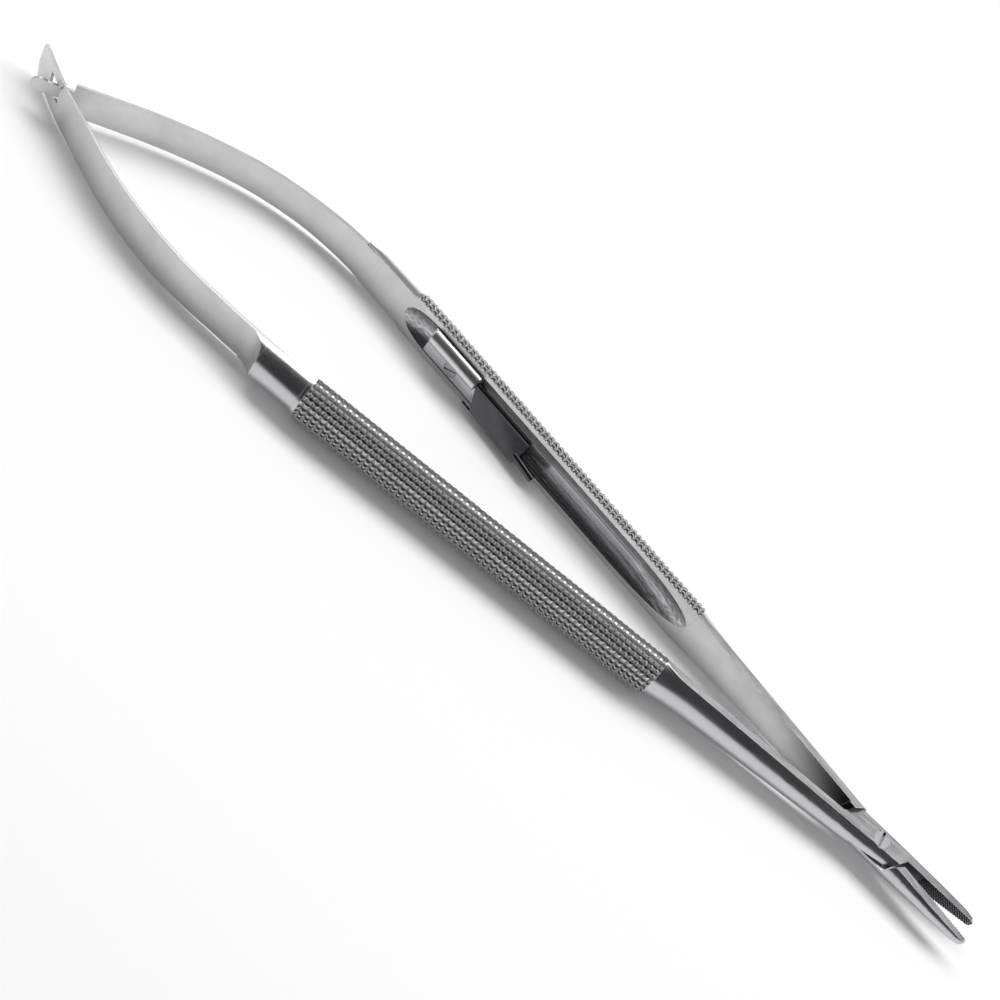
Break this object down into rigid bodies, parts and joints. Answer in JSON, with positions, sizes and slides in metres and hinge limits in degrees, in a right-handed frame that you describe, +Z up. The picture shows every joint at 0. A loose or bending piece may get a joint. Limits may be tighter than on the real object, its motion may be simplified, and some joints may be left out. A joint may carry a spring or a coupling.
{
  "type": "spring handled locking micro needle holder",
  "caption": "Slim surgical needle holder with round knurled spring handles, an inner latch lock and fine straight jaws, lying open on its side.",
  "frame": {"origin": "at the middle of the length and width, on the surface that the instrument lies on", "axes": "+X from the tail towards the jaw tips, +Y from the near handle towards the far handle, +Z up, along the pivot axis"},
  "size_m": [0.1804, 0.0316, 0.008],
  "materials": {
    "handle_steel": "satin",
    "spring_steel": "satin",
    "lock_steel": "satin",
    "screw_steel": "satin"
  },
  "bodies": {
    "near_arm": {"arm_a": "handle_steel", "keeper": "lock_steel", "keeper_screw": "screw_steel"},
    "near_strap": {"strap_a": "spring_steel"},
    "far_arm": {"arm_b": "handle_steel", "pivot_screw": "screw_steel", "latch_block": "lock_steel", "latch_screw": "screw_steel"},
    "far_strap": {"strap_b": "spring_steel"},
    "latch": {"latch_blade": "lock_steel"}
  },
  "joints": [
    {"name": "pivot", "type": "hinge", "parent": "near_arm", "child": "far_arm", "pos_m": [0.07177, 0, 0], "axis": [0, 0, 1], "range_deg": [0, 9.6], "stiffness_Nm_per_rad": 1},
    {"name": "near_strap_flex", "type": "hinge", "parent": "near_arm", "child": "near_strap", "pos_m": [-0.04711, -0.01291, 0], "axis": [0, 0, 1], "range_deg": [0, 20]},
    {"name": "far_strap_flex", "type": "hinge", "parent": "far_arm", "child": "far_strap", "pos_m": [-0.03987, 0.01315, 0], "axis": [0, 0, -1], "range_deg": [0, 16.5]},
    {"name": "latch_turn", "type": "hinge", "parent": "far_arm", "child": "latch", "pos_m": [-0.0077, 0.00923, 0.0051], "axis": [-0.9935, 0.1141, 0], "range_deg": [-8, 8], "stiffness_Nm_per_rad": 0.05}
  ],
  "couplings": [
    {"joint": "near_strap_flex", "follows": "pivot", "ratio": 2.08},
    {"joint": "far_strap_flex", "follows": "pivot", "ratio": 1.71}
  ]
}
